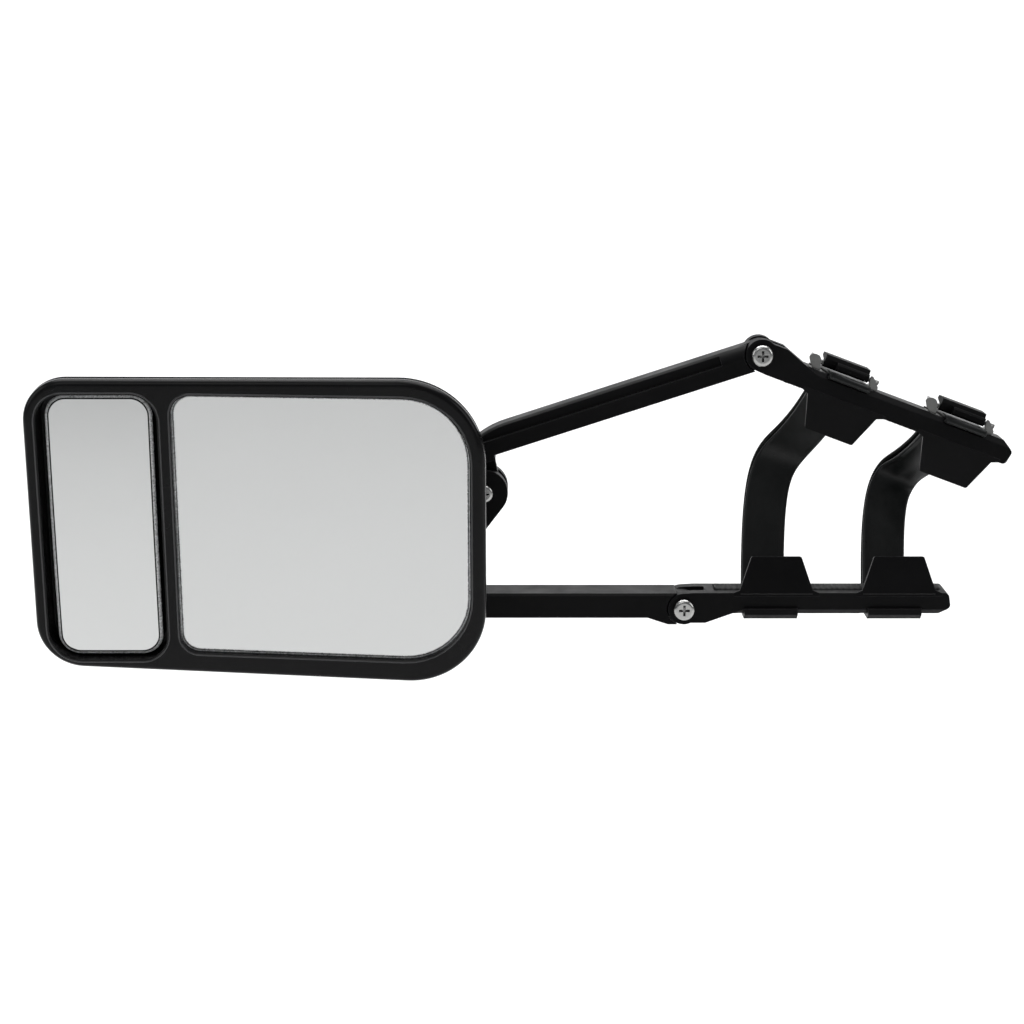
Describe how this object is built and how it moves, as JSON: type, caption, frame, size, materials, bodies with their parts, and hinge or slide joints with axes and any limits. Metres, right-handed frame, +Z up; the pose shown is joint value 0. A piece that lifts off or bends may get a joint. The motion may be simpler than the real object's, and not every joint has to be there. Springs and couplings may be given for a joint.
{
  "type": "strap-on towing mirror",
  "caption": "Strap-on towing mirror: hinged clamp bars with flaps and cam-buckle straps, folding arms, and a ball-jointed head with a flat mirror and an adjustable convex blind-spot mirror.",
  "frame": {"origin": "middle of the rubber seat on the lower clamp bar, which bears on the underside of the car's own mirror", "axes": "+X along the arms, away from the mirror head; +Y away from the driver; +Z up, out of the lower seat"},
  "size_m": [0.4189, 0.1038, 0.141],
  "materials": {
    "arm_plastic": "black, fine texture",
    "bezel_plastic": "black, satin gloss",
    "shell_plastic": "black, fine texture",
    "lever_plastic": "black",
    "inner_plastic": "black",
    "pad_rubber": "ribbed",
    "strap_web": "smooth black band",
    "mirror_glass": "flat silvered glass",
    "spot_mirror_glass": "domed silvered glass",
    "frame_steel": "bare sheet",
    "rivet_steel": "bare",
    "screw_steel": "zinc plated"
  },
  "bodies": {
    "lower_clamp": {"lower_clamp_bar": "arm_plastic", "lower_grip_pad": "pad_rubber", "lower_pivot_screw": "screw_steel", "lower_pivot_washer": "screw_steel", "lower_pivot_nut": "screw_steel", "strap_hook_1": "arm_plastic", "strap_hook_2": "arm_plastic"},
    "arm_frame": {"lower_arm": "arm_plastic", "ball_stud": "screw_steel", "ball_stud_washer": "screw_steel", "ball_stud_nut": "screw_steel", "mid_pivot_screw": "screw_steel", "mid_pivot_washer": "screw_steel", "mid_pivot_nut": "screw_steel"},
    "upper_arm": {"upper_arm": "arm_plastic"},
    "upper_clamp": {"upper_clamp_bar": "arm_plastic", "upper_grip_pad": "pad_rubber", "upper_pivot_screw": "screw_steel", "upper_pivot_washer": "screw_steel", "upper_pivot_nut": "screw_steel", "buckle_frame_1": "frame_steel", "buckle_frame_2": "frame_steel", "buckle_rivets": "rivet_steel", "cam_pin_1": "rivet_steel", "cam_pin_2": "rivet_steel", "cam_spring_1": "rivet_steel", "cam_spring_2": "rivet_steel", "strap_1": "strap_web", "strap_2": "strap_web"},
    "lever_1": {"cam_lever_1": "lever_plastic"},
    "lever_2": {"cam_lever_2": "lever_plastic"},
    "ball_liner": {"ball_liner": "inner_plastic"},
    "mirror_head": {"mirror_housing": "shell_plastic", "bezel_frame": "bezel_plastic", "main_glass": "mirror_glass", "glass_carrier": "inner_plastic", "socket_cap": "shell_plastic", "cap_screws": "screw_steel", "spot_pin": "rivet_steel"},
    "spot_mirror": {"spot_glass": "spot_mirror_glass", "spot_carrier": "inner_plastic"}
  },
  "joints": [
    {"name": "lower_clamp_hinge", "type": "hinge", "parent": "lower_clamp", "child": "arm_frame", "pos_m": [-0.0675, 0, -0.0081], "axis": [0, 1, 0], "range_deg": [-30, 4], "deforming": ["strap_1", "strap_2"]},
    {"name": "upper_arm_hinge", "type": "hinge", "parent": "arm_frame", "child": "upper_arm", "pos_m": [-0.1557, 0, 0.0442], "axis": [0, 1, 0], "range_deg": [-25, 4], "deforming": ["strap_1", "strap_2"]},
    {"name": "upper_clamp_hinge", "type": "hinge", "parent": "upper_arm", "child": "upper_clamp", "pos_m": [-0.0355, 0, 0.1049], "axis": [0, 1, 0], "range_deg": [-40, 5], "deforming": ["strap_1", "strap_2"]},
    {"name": "head_swivel", "type": "hinge", "parent": "arm_frame", "child": "ball_liner", "pos_m": [-0.249, -0.02212, 0.0406], "axis": [0, 0, 1], "range_deg": [-10, 10]},
    {"name": "head_tilt", "type": "hinge", "parent": "ball_liner", "child": "mirror_head", "pos_m": [-0.249, -0.02212, 0.0406], "axis": [1, 0, 0], "range_deg": [-10, 10]},
    {"name": "spot_turn", "type": "hinge", "parent": "mirror_head", "child": "spot_mirror", "pos_m": [-0.3141, -0.04674, 0.03954], "axis": [0, -0.0958, 0.9954], "range_deg": [-5, 5]},
    {"name": "cam_lever_1_hinge", "type": "hinge", "parent": "upper_clamp", "child": "lever_1", "pos_m": [0.00143, -0.0025, 0.09743], "axis": [0.9361, 0, -0.3518], "range_deg": [-28, 0], "stiffness_Nm_per_rad": 0.02, "springref_deg": 17.19},
    {"name": "cam_lever_2_hinge", "type": "hinge", "parent": "upper_clamp", "child": "lever_2", "pos_m": [0.05263, -0.0025, 0.07818], "axis": [0.9361, 0, -0.3518], "range_deg": [-28, 0], "stiffness_Nm_per_rad": 0.02, "springref_deg": 17.19}
  ]
}
